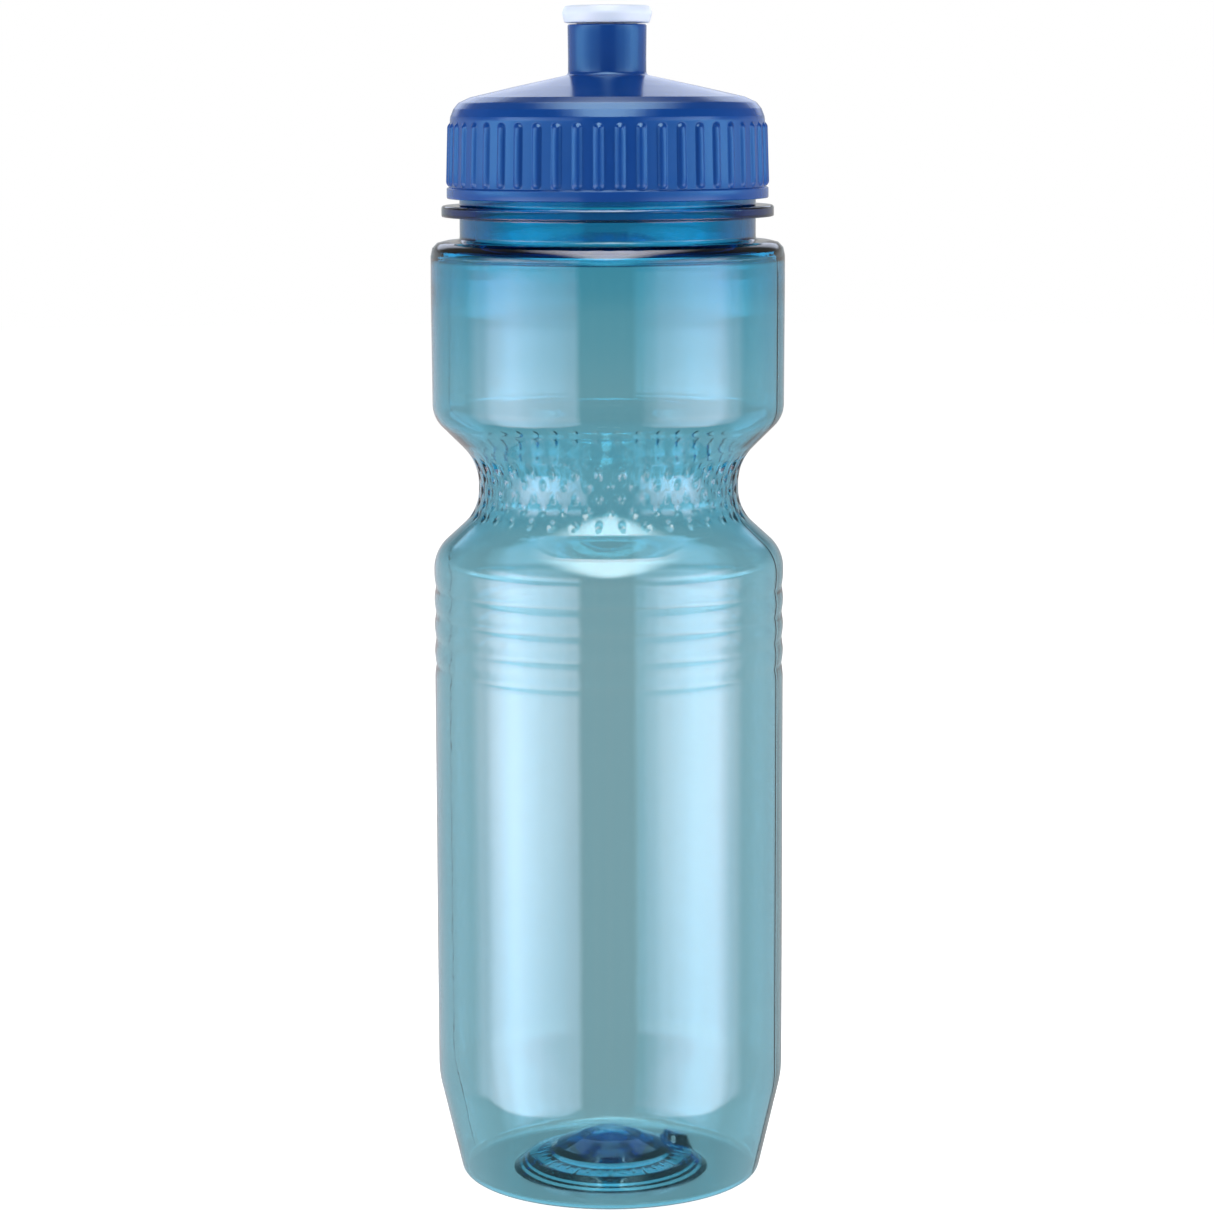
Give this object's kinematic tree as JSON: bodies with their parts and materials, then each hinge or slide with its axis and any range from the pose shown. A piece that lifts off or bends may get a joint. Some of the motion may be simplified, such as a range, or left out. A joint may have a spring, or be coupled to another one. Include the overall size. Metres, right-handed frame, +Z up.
{
  "type": "sports squeeze bottle",
  "caption": "Waisted transparent squeeze bottle with a wide ribbed screw cap, a domed push-pull drinking nozzle and grip grooves.",
  "frame": {"origin": "centre of the flat foot, on the bottle's axis, on the surface it stands on", "axes": "+Z up along the bottle's axis; the pictured front faces -Y, and +X is to its right"},
  "size_m": [0.0728, 0.0728, 0.2439],
  "materials": {
    "bottle_pet": "clear teal-blue tint, glossy, slightly wavy",
    "cap_plastic": "satin gloss, moulded, opaque blue",
    "liner_foam": "matte foamed sealing ring",
    "nozzle_plastic": "translucent natural white, soft satin"
  },
  "bodies": {
    "bottle": {"bottle": "bottle_pet"},
    "liner": {"cap_liner": "liner_foam"},
    "cap": {"screw_cap": "cap_plastic"},
    "nozzle": {"push_pull_nozzle": "nozzle_plastic"}
  },
  "joints": [
    {"name": "cap_rise", "type": "slide", "parent": "bottle", "child": "liner", "axis": [0, 0, 1], "range_m": [0, 0.01914]},
    {"name": "cap_turn", "type": "hinge", "parent": "liner", "child": "cap", "pos_m": [0, 0, 0.213], "axis": [0, 0, 1], "range_deg": [0, 1620]},
    {"name": "nozzle_pull", "type": "slide", "parent": "cap", "child": "nozzle", "axis": [0, 0, 1], "range_m": [0, 0.007]}
  ],
  "couplings": [
    {"joint": "cap_rise", "follows": "cap_turn", "m_per_rad": 0.00067322}
  ]
}
